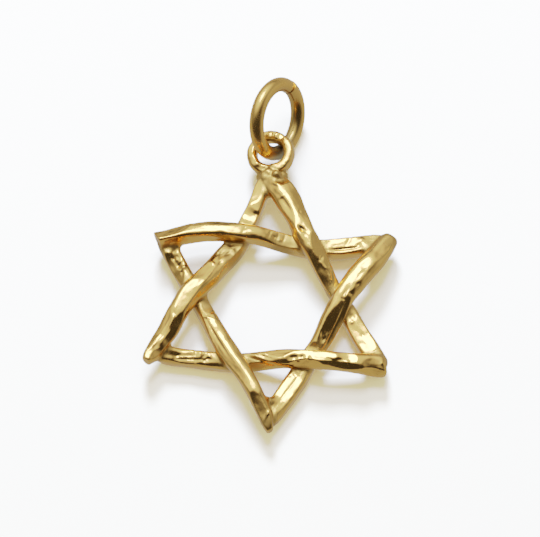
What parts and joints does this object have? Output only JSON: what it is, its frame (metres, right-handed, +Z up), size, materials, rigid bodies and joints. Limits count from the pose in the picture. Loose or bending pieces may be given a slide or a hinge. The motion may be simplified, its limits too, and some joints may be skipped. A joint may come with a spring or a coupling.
{
  "type": "star of david pendant",
  "caption": "Small cast gold pendant of hammered bars woven into a six-pointed star, with an eye at the top point and a round jump ring.",
  "frame": {"origin": "on the surface that it lies on, under the middle of the whole pendant", "axes": "+Y from the bottom point to the jump ring, +Z up out of the star's face, +X to the right of the face"},
  "size_m": [0.0186, 0.0274, 0.0056],
  "materials": {
    "cast_gold": "polished cast gold, lightly pitted and hammered",
    "ring_wire": "satin drawn gold wire"
  },
  "bodies": {
    "root": {"star": "cast_gold", "jump_ring": "ring_wire"}
  },
  "joints": []
}
